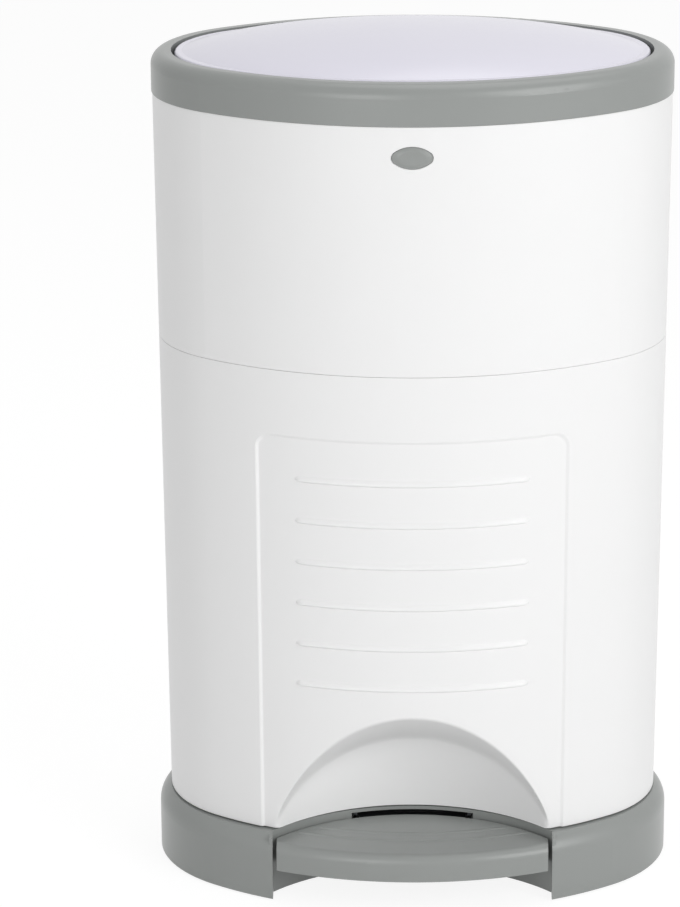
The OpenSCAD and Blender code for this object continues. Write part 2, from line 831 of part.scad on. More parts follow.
module top_frame() color(grey) {
  difference() {
    union() {
      around(a0, b0, rim_z - 1, rim_top + 5) difference() {
        rim_area(0);
        difference() {
          translate([0, -eps]) rim_area(rim_wall);
          translate([-rim_in, ledge_z]) square([rim_wall + 1, rim_wall]);
        }
      }
      oval_prism(a0 - rim_in + 1, b0 - rim_in + 1, ledge_z, ledge_top);
      translate([0, 0, throat_z]) linear_extrude(ledge_top - throat_z)
        square([throat_w + 2 * rim_wall, throat_d + 2 * rim_wall], center = true);
      // lugs for the lid's hinge
      for (x = [-1, 1]) scale([x, 1, 1]) {
        box(lug_x, lug_x + lug_t, lid_hinge_y - 5, lid_hinge_y + 5, ledge_z, lid_axis_z);
        bar_x(lid_barrel_r - 1, lug_x, lug_x + lug_t, lid_hinge_y, lid_axis_z);
      }
      // ears of the frame's hinge
      for (x = [-1, 1], e = ear_x) scale([x, 1, 1]) {
        bar_x(frame_barrel_r, e[0], e[1], frame_hinge_y, frame_hinge_z);
        box(
          e[0], e[1], frame_hinge_y - frame_barrel_r, frame_hinge_y + 2,
          frame_hinge_z, rim_z + 6
        );
        box(e[0], e[1], oval_y(a0, b0, e[1]) - 1, frame_hinge_y + 2, rim_z + 1, rim_z + 6);
      }
      // covers beside the lid's hinge
      intersection() {
        oval_prism(a0 - rim_in + 1, b0 - rim_in + 1, ledge_z, rim_top - lid_drop - 1);
        for (x = [-1, 1]) scale([x, 1, 1])
          box(cover_x, a0, lid_hinge_y - cover_in, b0, ledge_z, rim_top);
      }
      // catch tab behind the release button
      box(-14, 14, catch_tab_y, catch_tab_y + 3, button_z + 8, ledge_z + 1);
    }
    translate([0, 0, throat_z - 1]) linear_extrude(ledge_top - throat_z + 2)
      square([throat_w, throat_d], center = true);
    box(-9, 9, catch_tab_y - 1, catch_tab_y + 4, button_z + 11, button_z + 23);
    translate([0, rod_y, ledge_z - 1]) cylinder(r = rod_r + 3, h = rim_wall + 2);
    for (x = [-1, 1]) {
      bar_y(flap_pin_r + fit, -b0, b0, x * flap_axis_x, flap_axis_z);
      scale([x, 1, 1])
        bar_x(frame_pin_r + fit, ear_x[0][0] - 1, ear_x[1][1] + 1, frame_hinge_y, frame_hinge_z);
      scale([x, 1, 1])
        bar_x(lid_pin_r + fit, lug_x - 1, lug_x + lug_t + 1, lid_hinge_y, lid_axis_z);
    }
  }
}

module frame_hinge_pins() color(steel) {
  for (x = [-1, 1]) scale([x, 1, 1])
    bar_x(frame_pin_r, ear_x[0][0], ear_x[1][1], frame_hinge_y, frame_hinge_z);
}

/* ---- lid ---- */

al = a0 - rim_in - lid_gap;
bl = b0 - rim_in - lid_gap;
lid_edge = rim_top - lid_drop;
lid_z = lid_edge - lid_side;
knuckle_x = [[9, 25], [35, 51]];
edge_r = 2.5;

// The lid's dome, lowered by g: 0.6 is the height of the dome's edge as a share of its axis
module dome(g) {
  dome_h = lid_crown / 0.4;
  translate([0, 0, lid_edge + lid_crown - dome_h - g])
    scale([(al - 6) * 1.25, (bl - 6) * 1.25, dome_h]) sphere(1);
}

// Everything of the lid in front of its hinge
module before_hinge(y) {
  box(-al - 1, al + 1, -bl - 1, y, ledge_z, rim_top + lid_crown + 1);
}

module lid() color(white) {
  difference() {
    union() {
      intersection() {
        difference() {
          union() {
            oval_prism(al - edge_r, bl - edge_r, lid_z, lid_edge);
            around(al, bl, lid_z - 1, lid_edge + 1) {
              translate([-edge_r - 1, lid_z]) square([edge_r + 1, lid_side - edge_r]);
              intersection() {
                translate([-edge_r, lid_edge - edge_r]) circle(edge_r);
                translate([-edge_r - eps, lid_edge - edge_r - eps]) square(edge_r + 2 * eps);
              }
            }
            intersection() {
              oval_prism(al - edge_r, bl - edge_r, lid_edge - 1, rim_top + lid_crown);
              dome(0);
            }
          }
          oval_prism(al - lid_wall, bl - lid_wall, lid_z - 1, lid_edge - lid_wall);
          intersection() {
            oval_prism(al - 2 * lid_wall, bl - 2 * lid_wall, lid_edge - lid_wall - 1, rim_top + lid_crown);
            dome(lid_wall);
          }
        }
        union() {
          before_hinge(lid_hinge_y - cover_gap - cover_in);
          intersection() {
            before_hinge(lid_hinge_y);
            box(-cover_x + 1, cover_x - 1, 0, b0, ledge_z, rim_top + 2 * lid_crown);
          }
        }
      }
      for (x = [-1, 1], k = knuckle_x) scale([x, 1, 1])
        bar_x(lid_barrel_r, k[0], k[1], lid_hinge_y, lid_axis_z);
    }
    // room for the frame's lugs
    for (x = [-1, 1]) scale([x, 1, 1])
      box(
        knuckle_x[0][1], knuckle_x[1][0], lid_hinge_y - 8, lid_hinge_y + 9,
        lid_z - 1, rim_top + 5
      );
    for (x = [-1, 1]) scale([x, 1, 1])
      bar_x(lid_pin_r + fit, knuckle_x[0][0] - 1, knuckle_x[1][1] + 1, lid_hinge_y, lid_axis_z);
    // finger notch in the front edge
    intersection() {
      around(al, bl, lid_z - 1, lid_edge + 2)
        polygon([[-4, lid_edge + 1], [1, lid_edge + 1], [1, lid_edge - 4]]);
      box(-notch_w / 2, notch_w / 2, -bl - 5, 0, lid_z, lid_edge + 2);
    }
  }
}

panel_t = 4;
panel_y = lid_hinge_y - cover_in - cover_gap;

module lid_panel() color(grey) {
  intersection() {
    oval_prism(al - 4, bl - 4, lid_z - panel_t, lid_z);
    before_hinge(panel_y);
  }
  box(-6, 6, rod_y - 4, panel_y, ledge_top + 1, lid_z - panel_t + 1);
}

module lid_seal() color(dark) {
  z0 = ledge_top + 0.4;
  intersection() {
    difference() {
      oval_prism(al - 8, bl - 8, z0, lid_z - panel_t);
      oval_prism(al - 13, bl - 13, z0 - 1, lid_z);
    }
    before_hinge(rod_y - 8);
  }
}

module lid_hinge_pins() color(steel) {
  for (x = [-1, 1]) scale([x, 1, 1])
    bar_x(lid_pin_r, knuckle_x[0][0], knuckle_x[1][1], lid_hinge_y, lid_axis_z);
}

/* ---- trap flaps ---- */

flap_y = throat_d / 2 - 4;
barrel_y = flap_y - 6;
meet = 0.75;

module flap() {
  difference() {
    union() {
      box(
        meet, flap_axis_x, -flap_y, flap_y,
        flap_axis_z - flap_barrel_r, flap_axis_z - flap_barrel_r + flap_t
      );
      bar_y(flap_barrel_r, -barrel_y, barrel_y, flap_axis_x, flap_axis_z);
    }
    bar_y(flap_pin_r + fit, -b0, b0, flap_axis_x, flap_axis_z);
    for (y = [-1, 1]) translate([flap_axis_x, y * (flap_y - 2.5), flap_axis_z])
      cube([12, 7, 20], center = true);
  }
}

module flap_right() color(grey) flap();

module flap_left() color(grey) mirror([1, 0, 0]) flap();

module flap_seal() color(dark) {
  z0 = flap_axis_z - flap_barrel_r;
  box(-meet, meet - seat, -flap_y, flap_y, z0, z0 + flap_t);
}

module flap_pins() color(steel) {
  for (x = [-1, 1])
    bar_y(
      flap_pin_r, -throat_d / 2 - rim_wall, throat_d / 2 + rim_wall,
      x * flap_axis_x, flap_axis_z
    );
}

module flap_springs() color(steel) {
  for (x = [-1, 1]) translate([x * flap_axis_x, -throat_d / 2, flap_axis_z])
    rotate([-90, 0, 0]) coil(flap_pin_r + 1, 0.8, 6, 5);
}

/* ---- release button ---- */

button_face = -b0 + inset(button_z) - 0.1;
carrier_y = button_face + 20;

// The plunger's nose stands level with the window in the catch tab
nose_z0 = button_z + 14;
nose_z1 = button_z + 20;
nose_w = 5;
nose_gap = button_travel + 0.4;

module release_button() color(grey) {
  difference() {
    union() {
      facing(button_face, button_face + 8) translate([0, button_z])
        oval_area(button_w / 2, button_h / 2);
      facing(button_face + 4.6, button_face + 8) translate([0, button_z])
        oval_area(button_w / 2 + 3, button_h / 2 + 3);
      box(-nose_w, nose_w, button_face + 5, button_face + 8, button_z, nose_z1);
      box(-nose_w, nose_w, button_face + 7, catch_tab_y - nose_gap, nose_z0, nose_z1);
    }
    bar_y(5.5, button_face + 3, button_face + 20, 0, button_z);
  }
}

module button_carrier() color(dark) {
  side = button_w / 2 + 6;
  difference() {
    inside_body(0.15, button_z - 16, button_z - 3)
      box(-side - 3, side + 3, -b0, carrier_y, button_z - 16, button_z - 3);
    box(-side, side, -b0 - 1, carrier_y - 3, button_z - 13, button_z);
  }
  box(-8, 8, carrier_y - 3, carrier_y, button_z - 4, button_z + 8);
}

module button_spring() color(steel) {
  y0 = button_face + 3 + button_travel + seat;
  translate([0, y0, button_z]) rotate([-90, 0, 0])
    coil(4, 1, carrier_y - 3 - 0.05 - y0, 6);
}

base();
body_shell();
front_door();
door_hinge_pins();
door_catch();
door_strike();
cutter_guard();
cutter_blade();
pedal();
pedal_lever();
pedal_axle();
axle_clips();
pedal_screws();
pedal_spring();
push_rod();
rod_bushing();
rod_guides();
cassette_tray();
refill_cassette();
film_pack();
cassette_cover();
top_frame();
frame_hinge_pins();
lid();
lid_panel();
lid_seal();
lid_hinge_pins();
flap_left();
flap_right();
flap_pins();
flap_springs();
flap_seal();
release_button();
button_carrier();
button_spring();
rubber_feet();
base_screws();
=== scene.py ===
import json
import math

import bmesh
import bpy
import numpy as np
from mathutils import Matrix, Vector


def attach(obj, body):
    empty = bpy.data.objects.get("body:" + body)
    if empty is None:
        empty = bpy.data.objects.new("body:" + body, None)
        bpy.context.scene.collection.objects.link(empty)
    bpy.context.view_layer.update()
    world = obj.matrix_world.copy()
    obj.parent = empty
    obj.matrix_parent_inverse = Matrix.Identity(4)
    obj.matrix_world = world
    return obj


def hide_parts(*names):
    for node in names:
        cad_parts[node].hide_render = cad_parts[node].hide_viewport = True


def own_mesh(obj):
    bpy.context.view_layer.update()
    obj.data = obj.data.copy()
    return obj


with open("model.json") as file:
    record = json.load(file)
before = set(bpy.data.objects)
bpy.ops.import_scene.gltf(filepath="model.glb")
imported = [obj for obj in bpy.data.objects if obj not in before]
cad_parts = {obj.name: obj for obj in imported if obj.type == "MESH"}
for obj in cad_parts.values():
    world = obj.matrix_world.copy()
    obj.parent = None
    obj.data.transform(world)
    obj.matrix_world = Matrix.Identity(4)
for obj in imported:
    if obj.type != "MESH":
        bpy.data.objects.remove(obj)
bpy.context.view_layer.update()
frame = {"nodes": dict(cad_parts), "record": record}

nodes = frame["nodes"]
print("frame loaded:", len(nodes), "nodes")


def hexToLinear(code):
    # sRGB hex to the linear colour that the shader wants
    out = []
    for i in (1, 3, 5):
        c = int(code[i:i + 2], 16) / 255
        out.append(c / 12.92 if c <= 0.04045 else ((c + 0.055) / 1.055) ** 2.4)
    return (*out, 1.0)


def addNode(tree, kind, settings=None, links=None):
    # settings: attribute or input name -> value, links: input name -> output socket
    node = tree.nodes.new(kind)
    for key, value in (settings or {}).items():
        if isinstance(key, str) and hasattr(node, key):
            setattr(node, key, value)
        else:
            node.inputs[key].default_value = value
    for key, source in (links or {}).items():
        tree.links.new(source, node.inputs[key])
    return node


moulding = {
    "waveMm": 60,               # length of the sink waves of a thick wall
    "waveDepth": 0.00006,
    "waveDetail": 1.0,
    "waveRoughness": 0.4,
    "grainDetail": 3.0,
    "grainRoughness": 0.6,
    "swing": 0.04,              # how far the roughness goes up and down with the grain
}
drawing = {
    "detail": 2.0,
    "darkest": 0.9,             # share of the colour that is left in the lines
    "smoother": 0.06,
    "rougher": 0.08,
    "depth": 0.00002,
}


def newFinish(name):
    # an empty material, its node tree and the place on the object
    mat = bpy.data.materials.new(name)
    mat.use_nodes = True
    tree = mat.node_tree
    tree.nodes.clear()
    return mat, tree, addNode(tree, "ShaderNodeTexCoord").outputs["Object"]


def perMetre(lengthMm):
    return 1000 / lengthMm


def mouldedPlastic(name, colour, rough, grainMm, grainDepthMm, tint=0.02, ior=1.5):
    # an injection moulded plastic: even colour, a spark-eroded grain and slow sink waves;
    # the grain is drawn several times coarser than the real one, which would be finer than a pixel
    mat, tree, where = newFinish(name)
    grain = addNode(tree, "ShaderNodeTexNoise",
                    {"Scale": perMetre(grainMm), "Detail": moulding["grainDetail"],
                     "Roughness": moulding["grainRoughness"]},
                    {"Vector": where}).outputs["Fac"]
    wave = addNode(tree, "ShaderNodeTexNoise",
                   {"Scale": perMetre(moulding["waveMm"]), "Detail": moulding["waveDetail"],
                    "Roughness": moulding["waveRoughness"]},
                   {"Vector": where}).outputs["Fac"]
    base = hexToLinear(colour)[:3]
    shade = addNode(tree, "ShaderNodeMix",
                    {"data_type": "RGBA",
                     6: (*(c * (1 - tint) for c in base), 1.0),
                     7: (*(min(1.0, c * (1 + tint)) for c in base), 1.0)},
                    {"Factor": wave})
    gloss = addNode(tree, "ShaderNodeMapRange",
                    {"To Min": rough - moulding["swing"], "To Max": rough + moulding["swing"]},
                    {"Value": grain})
    fine = addNode(tree, "ShaderNodeBump",
                   {"Strength": 1.0, "Distance": grainDepthMm / 1000}, {"Height": grain})
    slow = addNode(tree, "ShaderNodeBump",
                   {"Strength": 1.0, "Distance": moulding["waveDepth"]},
                   {"Height": wave, "Normal": fine.outputs[0]})
    skin = addNode(tree, "ShaderNodeBsdfPrincipled", {"IOR": ior},
                   {"Base Color": shade.outputs[2], "Roughness": gloss.outputs[0],
                    "Normal": slow.outputs[0]})
    addNode(tree, "ShaderNodeOutputMaterial", None, {"Surface": skin.outputs[0]})
    return mat


def drawnSteel(name, colour, rough, grainMm, along):
    # bright steel rod or wire with fine drawing lines, which along stretches in one direction;
    # the lines are drawn coarser than the real ones
    mat, tree, where = newFinish(name)
    stretch = addNode(tree, "ShaderNodeMapping", {"Scale": along}, {"Vector": where})
    lines = addNode(tree, "ShaderNodeTexNoise",
                    {"Scale": perMetre(grainMm), "Detail": drawing["detail"]},
                    {"Vector": stretch.outputs[0]}).outputs["Fac"]
    base = hexToLinear(colour)
    shade = addNode(tree, "ShaderNodeMix",
                    {"data_type": "RGBA",
                     6: (*(c * drawing["darkest"] for c in base[:3]), 1.0),
                     7: base},
                    {"Factor": lines})
    gloss = addNode(tree, "ShaderNodeMapRange",
                    {"To Min": rough - drawing["smoother"], "To Max": rough + drawing["rougher"]},
                    {"Value": lines})
    bump = addNode(tree, "ShaderNodeBump",
                   {"Strength": 1.0, "Distance": drawing["depth"]}, {"Height": lines})
    skin = addNode(tree, "ShaderNodeBsdfPrincipled", {"Metallic": 1.0},
                   {"Base Color": shade.outputs[2], "Roughness": gloss.outputs[0],
                    "Normal": bump.outputs[0]})
    addNode(tree, "ShaderNodeOutputMaterial", None, {"Surface": skin.outputs[0]})
    return mat


finishes = {
    # white polypropylene, moulded in a lightly grained tool: soft highlight, faint warm white
    "white_pp": mouldedPlastic("whitePolypropylene", "#f1f1f1", 0.36, 0.9, 0.012, tint=0.006),
    # the lid is the same plastic from a polished tool: clearer highlight, cooler white
    "white_gloss": mouldedPlastic("polishedLidPlastic", "#e6e4f0", 0.24, 2.5, 0.004, tint=0.006),
    # grey polypropylene: satin, slightly green grey
    "grey_pp": mouldedPlastic("greyPolypropylene", "#929593", 0.3, 0.8, 0.01, tint=0.02),
    # paler grey plastic of the parts under the lid
    "inner_grey": mouldedPlastic("innerGreyPlastic", "#b9bcbc", 0.45, 0.8, 0.015),
    # cassette of plain recycled plastic, matt and a little uneven
    "cassette_pp": mouldedPlastic("cassettePlastic", "#d7dbe0", 0.5, 1.2, 0.02, tint=0.03),
    # gathered refill film: milky, with tight pleats that read as fine waves
    "film": mouldedPlastic("pleatedFilm", "#e7ecf2", 0.3, 3.0, 0.4, tint=0.04, ior=1.51),
    # black ABS of the lever, clips and catch: satin with a fine spark grain
    "black_abs": mouldedPlastic("blackAbs", "#222325", 0.42, 0.7, 0.02, ior=1.54),
    # zinc plated steel, drawn
    "steel": drawnSteel("platedSteel", "#c4c6c9", 0.28, 0.5, (1.0, 1.0, 0.08)),
    # spring wire: darker and smoother
    "spring_steel": drawnSteel("springWire", "#74777b", 0.3, 0.4, (1.0, 1.0, 1.0)),
    # black rubber of the feet and seals: matt, faint bloom
    "seal_rubber": mouldedPlastic("sealRubber", "#2b2c2d", 0.75, 0.6, 0.02, tint=0.08, ior=1.52),
}

slotOf = {row["node"]: row["material_slot"] for row in frame["record"]["subparts"]}
for name, obj in nodes.items():
    obj.data.materials.clear()
    obj.data.materials.append(finishes[slotOf[name]])
print("finishes:", len(finishes))


body = {"halfWide": 215.0, "halfDeep": 145.0, "taper": 5.5, "rimZ": 674.0, "wall": 3.5}

# The body's plan is an oval of four arcs, long ones in front and behind and short ones at the ends.
# The arcs' centres and the middle of the oval are the corners of a 3-4-5 triangle.
stretch = body["halfWide"] - body["halfDeep"]
oval = {
    "frontRadius": body["halfDeep"] + 2 * stretch,
    "frontY": 2 * stretch,                      # centre of the front arc
    "endRadius": body["halfWide"] - 1.5 * stretch,
    "endX": 1.5 * stretch,                      # centre of an end arc
}
oval["joinX"] = 0.6 * oval["frontRadius"]       # where the front arc meets an end arc
oval["joinAngle"] = -math.atan2(4, 3)


def inset(z):
    # how far the leaning wall has drawn in at a height
    return body["taper"] * (body["rimZ"] - z) / body["rimZ"]


def wallAt(x):
    # front half of the oval at a width x: the point and the way it faces
    if abs(x) <= oval["joinX"]:
        y = oval["frontY"] - math.sqrt(oval["frontRadius"] ** 2 - x * x)
        return np.array((x, y)), np.array((x, y - oval["frontY"])) / oval["frontRadius"]
    c = math.copysign(oval["endX"], x)
    y = -math.sqrt(max(0.0, oval["endRadius"] ** 2 - (x - c) ** 2))
    return np.array((x, y)), np.array((x - c, y)) / oval["endRadius"]


def softMax(a, b, k):
    # the larger of two depths with a rounded change between them
    h = max(k - abs(a - b), 0.0) / k
    return max(a, b) + h * h * k * 0.25


def smooth(t):
    # eases from 0 to 1 as t does
    t = min(1.0, max(0.0, t))
    return t * t * (3 - 2 * t)


def stepped(*stops):
    # places from stop to stop; between two stops stands the number of steps
    places = []
    for lo, count, hi in zip(stops[0::2], stops[1::2], stops[2::2]):
        places += [lo + (hi - lo) * i / count for i in range(count)]
    return places


def meshObject(name, points, faces, mat, smoothAngle=35.0):
    # points in millimetres; normals are turned outward after doubles are merged
    mesh = bpy.data.meshes.new(name)
    mesh.from_pydata([(p[0] / 1000, p[1] / 1000, p[2] / 1000) for p in points], [], faces)
    bm = bmesh.new()
    bm.from_mesh(mesh)
    bmesh.ops.remove_doubles(bm, verts=bm.verts, dist=1e-7)
    bmesh.ops.dissolve_degenerate(bm, edges=bm.edges, dist=1e-8)
    bmesh.ops.recalc_face_normals(bm, faces=bm.faces)
    bm.to_mesh(mesh)
    bm.free()
    for poly in mesh.polygons:
        poly.use_smooth = True
    mesh.set_sharp_from_angle(angle=math.radians(smoothAngle))
    mesh.materials.append(mat)
    obj = bpy.data.objects.new(name, mesh)
    bpy.context.scene.collection.objects.link(obj)
    return obj


def closedGrid(outer, inner):
    # two sheets of the same rows and columns, joined round their border
    rows, cols = len(outer), len(outer[0])
    points = [p for row in outer for p in row] + [p for row in inner for p in row]
    n = rows * cols
    faces = []
    for r in range(rows - 1):
        for c in range(cols - 1):
            a = r * cols + c
            faces.append((a, a + 1, a + cols + 1, a + cols))
            faces.append((n + a, n + a + cols, n + a + cols + 1, n + a + 1))
    for c in range(cols - 1):
        faces.append((c, n + c, n + c + 1, c + 1))
        a = (rows - 1) * cols + c
        faces.append((a, a + 1, n + a + 1, n + a))
    for r in range(rows - 1):
        a, b = r * cols, (r + 1) * cols
        faces.append((a, b, n + b, n + a))
        a, b = a + cols - 1, b + cols - 1
        faces.append((a, n + a, n + b, b))
    return points, faces


def tubeFaces(rings, sides):
    # the skin between rings of points
    faces = []
    for k in range(rings - 1):
        for i in range(sides):
            j = (i + 1) % sides
            faces.append((k * sides + i, k * sides + j, (k + 1) * sides + j, (k + 1) * sides + i))
    return faces


def capFace(ring, sides):
    return tuple(ring * sides + i for i in range(sides))


def roundBar(start, end, radius, sides, edge):
    # a closed bar with eased ends
    start, end = np.array(start, float), np.array(end, float)
    along = (end - start) / np.linalg.norm(end - start)
    side = np.cross(along, (0, 1, 0))
    side /= np.linalg.norm(side)
    up = np.cross(along, side)
    rings = [
        (start, radius - edge),
        (start + along * edge, radius),
        (end - along * edge, radius),
        (end, radius - edge),
    ]
    points = []
    for c, r in rings:
        for i in range(sides):
            t = 2 * math.pi * i / sides
            points.append(tuple(c + r * (math.cos(t) * side + math.sin(t) * up)))
    faces = tubeFaces(len(rings), sides) + [capFace(0, sides), capFace(len(rings) - 1, sides)]
    return points, faces


def easedBox(lo, hi, edge):
    # a box whose twelve edges are cut back a little
    bm = bmesh.new()
    bmesh.ops.create_cube(bm, size=1.0)
    for v in bm.verts:
        v.co = Vector([(lo[k] + hi[k]) / 2 + v.co[k] * (hi[k] - lo[k]) for k in range(3)])
    bmesh.ops.bevel(bm, geom=list(bm.edges), offset=edge, segments=2, affect="EDGES")
    bm.verts.index_update()
    points = [tuple(v.co) for v in bm.verts]
    faces = [tuple(v.index for v in f.verts) for f in bm.faces]
    bm.free()
    return points, faces


def joined(*parts):
    # several closed shapes as one list of points and faces
    points, faces = [], []
    for p, f in parts:
        base = len(points)
        points += list(p)
        faces += [tuple(base + i for i in face) for face in f]
    return points, faces


door = {
    "low": 59.2,
    "high": 466.1,
    "edge": 0.6,                # easing of the border
    "edgeRows": (0.2, 0.5, 0.8),            # distances from a border of the close rows at it
    "edgeColumns": (1.2, 0.9, 0.5, 0.0),
    "rowsStart": 1.2,                       # distance from a border at which the wide rows start
    "sideY": 11.5,                          # where the wall ends on the catch side
    "hingeSideY": 5.6,
    "sideColumns": 26,
    "frontTo": 170,                         # the front columns end just before the end arcs
}
panel = {
    "half": 129.0,
    "top": 410.0,
    "corner": 12.0,
    "sink": 1.8,
    "edge": 2.6,
    "reach": 4.0,               # beyond the half width, up to where the sunk depth is worked out
    "rowsBelow": 14,            # close rows from this far below the top
    "rowsAbove": 3,
}
recess = {
    "backRadius": 156.0,
    "back": 61.4,
    "roofRadius": 130.0,
    "roofTop": 169.0,
    "roofSlope": 30.0,          # degrees
    "archFillet": 5.0,
    "creaseFillet": 9.0,
    "half": 116.5,              # half width of the arch at the door's lower border
    "reach": 119.0,             # half width up to which its fillets count
    "columnsFrom": 100,         # the arch is steep from here to its foot and has closer columns
    "columnsTo": 116,
    "searchTop": 175,
    "clearTop": 200,            # above it the rows are wide
    "plainArch": 8.0,           # height above the lower border that counts where no arch is met
    "plainCrease": 4.0,         # and the same for the crease
    "foldGap": 3.0,             # least height between arch and crease
    "band": 4.0,                # half height of the close rows at the arch and the crease
    "foot": 1.6,                # height that the close rows leave free above the lower border
    "share": 0.45,              # share of the room between them that the close rows may take
}
bead = {
    "inward": 5.0,              # from the wall's outside to the hinge line
    "y": 6.0,
    "foot": 44.0,               # height of the joint that the hinge line starts from
    "low": 59.4,
    "high": 465.3,
    "radius": 4.7,
    "edge": 0.5,
    "sides": 40,
}
strikeTab = {"low": (190, 5, 250), "high": (209, 9.5, 280), "edge": 0.6}


def roofDepth(x, z):
    # how far back the arched roof lies at a width and height
    lean = math.radians(recess["roofSlope"])
    front = body["halfDeep"] - inset(recess["roofTop"])
    axis = recess["roofTop"] - recess["roofRadius"] / math.cos(lean)
    reach = math.sqrt(max(0.0, recess["roofRadius"] ** 2 - x * x))
    return -front + (reach - (z - axis) * math.cos(lean)) / math.sin(lean)


def backDepth(x):
    # the recess's upright round back wall
    r = recess["backRadius"]
    return -recess["back"] - r + math.sqrt(max(0.0, r * r - x * x))


def panelShare(x, z):
    # 1 inside the sunk panel, 0 outside, eased over its edge
    r, e = panel["corner"], panel["edge"]
    qx, qz = abs(x) - panel["half"] + r, z - panel["top"] + r
    out = math.hypot(max(qx, 0), max(qz, 0)) + min(max(qx, qz), 0) - r
    return 1 - smooth((out + e / 2) / e)


def crossing(test, lo, hi):
    # height where test changes from true below to false above
    for _ in range(40):
        mid = (lo + hi) / 2
        lo, hi = (mid, hi) if test(mid) else (lo, mid)
    return lo


def sideColumns(turn, endY):
    # the end arc up to the door's border, with closer columns at the border
    last = math.asin(endY / oval["endRadius"])
    first, count = oval["joinAngle"], door["sideColumns"]
    angles = [first + (last - first) * i / count for i in range(count + 1)]
    angles += [last - back / oval["endRadius"] for back in door["edgeColumns"]]
    columns = []
    for a in sorted({round(a, 6) for a in angles}):
        n = np.array((turn * math.cos(a), math.sin(a)))
        columns.append((np.array((turn * oval["endX"], 0.0)) + oval["endRadius"] * n, n))
    return columns


def doorColumns():
    # the door's plan as points and facing directions, from the hinge side round the front
    half, e = panel["half"], panel["edge"]
    xs = stepped(0, 40, recess["columnsFrom"], 20, recess["columnsTo"], 8, half - e, 12,
                 half + e, 8, door["frontTo"])
    xs = sorted({round(x, 4) for x in xs} | {round(-x, 4) for x in xs})
    front = [wallAt(x) for x in xs]
    return sideColumns(-1, door["hingeSideY"])[::-1] + front + sideColumns(1, door["sideY"])


def foldHeights(p, n):
    # heights where a column meets the crease of the recess and the edge of the arch
    x, low = p[0], door["low"]
    arch, crease = low + recess["plainArch"], low + recess["plainCrease"]
    if abs(x) < recess["half"]:
        def opened(z):
            return min(roofDepth(x, z), backDepth(x)) > (p - n * inset(z))[1]

        def underRoof(z):
            return roofDepth(x, z) > backDepth(x)

        if opened(low + 1):
            arch = max(arch, crossing(opened, low + 1, recess["searchTop"]))
        crease = max(crease, crossing(underRoof, low, recess["searchTop"]))
        crease = min(arch - recess["foldGap"], crease)
    return crease, arch


def doorRows(crease, arch):
    # heights of a column's points: close at the borders, the crease, the arch and the panel's top
    low, high, top = door["low"], door["high"], panel["top"]
    band = min(recess["band"], (arch - crease) * recess["share"])
    soft = min(recess["band"], (crease - low - recess["foot"]) * recess["share"])
    start, stop = low + door["rowsStart"], high - door["rowsStart"]
    rows = [low] + [low + d for d in door["edgeRows"]]
    rows += stepped(start, 6, crease - soft, 6, crease + soft * 0.5, 6, arch - band, 12,
                    arch + band, 10, recess["clearTop"], 16, top - panel["rowsBelow"], 22,
                    top + panel["rowsAbove"], 6, stop)
    return rows + [stop] + [high - d for d in reversed(door["edgeRows"])] + [high]


def doorWall(p, n, z, sideways):
    # the outer and inner point at a height, sideways from the door's nearer side border
    x, e = p[0], door["edge"]
    near = min(z - door["low"], door["high"] - z, sideways)
    ease = e - math.sqrt(e ** 2 - (e - near) ** 2) if near < e else 0.0
    d = -inset(z) - ease
    if abs(x) < panel["half"] + panel["reach"]:
        d -= panel["sink"] * panelShare(x, z)
    q = p + n * d
    if abs(x) < recess["reach"]:
        depth = -softMax(-roofDepth(x, z), -backDepth(x), recess["creaseFillet"])
        q = np.array((q[0], softMax(q[1], depth, recess["archFillet"])))
    back = q - n * (body["wall"] - ease)
    return (q[0], q[1], z), (back[0], back[1], z)


def hingeLine(z):
    # the hinge leans with the wall that it follows
    footX = -(body["halfWide"] - inset(bead["foot"]) - bead["inward"])
    return footX - (z - bead["foot"]) * body["taper"] / body["rimZ"], bead["y"], z


def buildDoor():
    # the door's shell with its sunk panel and foot recess, its hinge bead and the tab of the strike
    columns = doorColumns()
    outer, inner = [], []
    for i, (p, n) in enumerate(columns):
        border = columns[0 if i < len(columns) / 2 else -1][0]
        sideways = np.linalg.norm(p - border)
        pairs = [doorWall(p, n, z, sideways) for z in doorRows(*foldHeights(p, n))]
        outer.append([pair[0] for pair in pairs])
        inner.append([pair[1] for pair in pairs])
    parts = joined(
        closedGrid(outer, inner),
        roundBar(hingeLine(bead["low"]), hingeLine(bead["high"]), bead["radius"],
                 bead["sides"], bead["edge"]),
        easedBox(strikeTab["low"], strikeTab["high"], strikeTab["edge"]),
    )
    return meshObject("frontDoorShell", *parts, finishes["white_pp"])


doorShell = buildDoor()
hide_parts("front_door")
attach(doorShell, "door")
print("front door:", len(doorShell.data.polygons), "faces")


ribs = {
    "count": 6,
    "pitch": 35.9,
    "lowest": 195.0,
    "halfWide": 98.5,
    "height": 6.0,
    "tipHeight": 0.35,          # share of the height that is left at the tips
    "proud": 2.0,
    "peak": -0.35,              # where the crest runs, from -1 at the lower edge to 1 at the upper
    "fullness": 1.2,            # above 1 the flanks are hollow
    "root": 0.5,                # depth of the closed underside below the panel
    "sink": 0.04,               # so far the border lies below the panel
    "end": 3.5,                 # length of the taper at a tip
    "crowding": 0.8,            # below 1 the points are closer at the tips
    "across": 14,
    "along": 72,
}


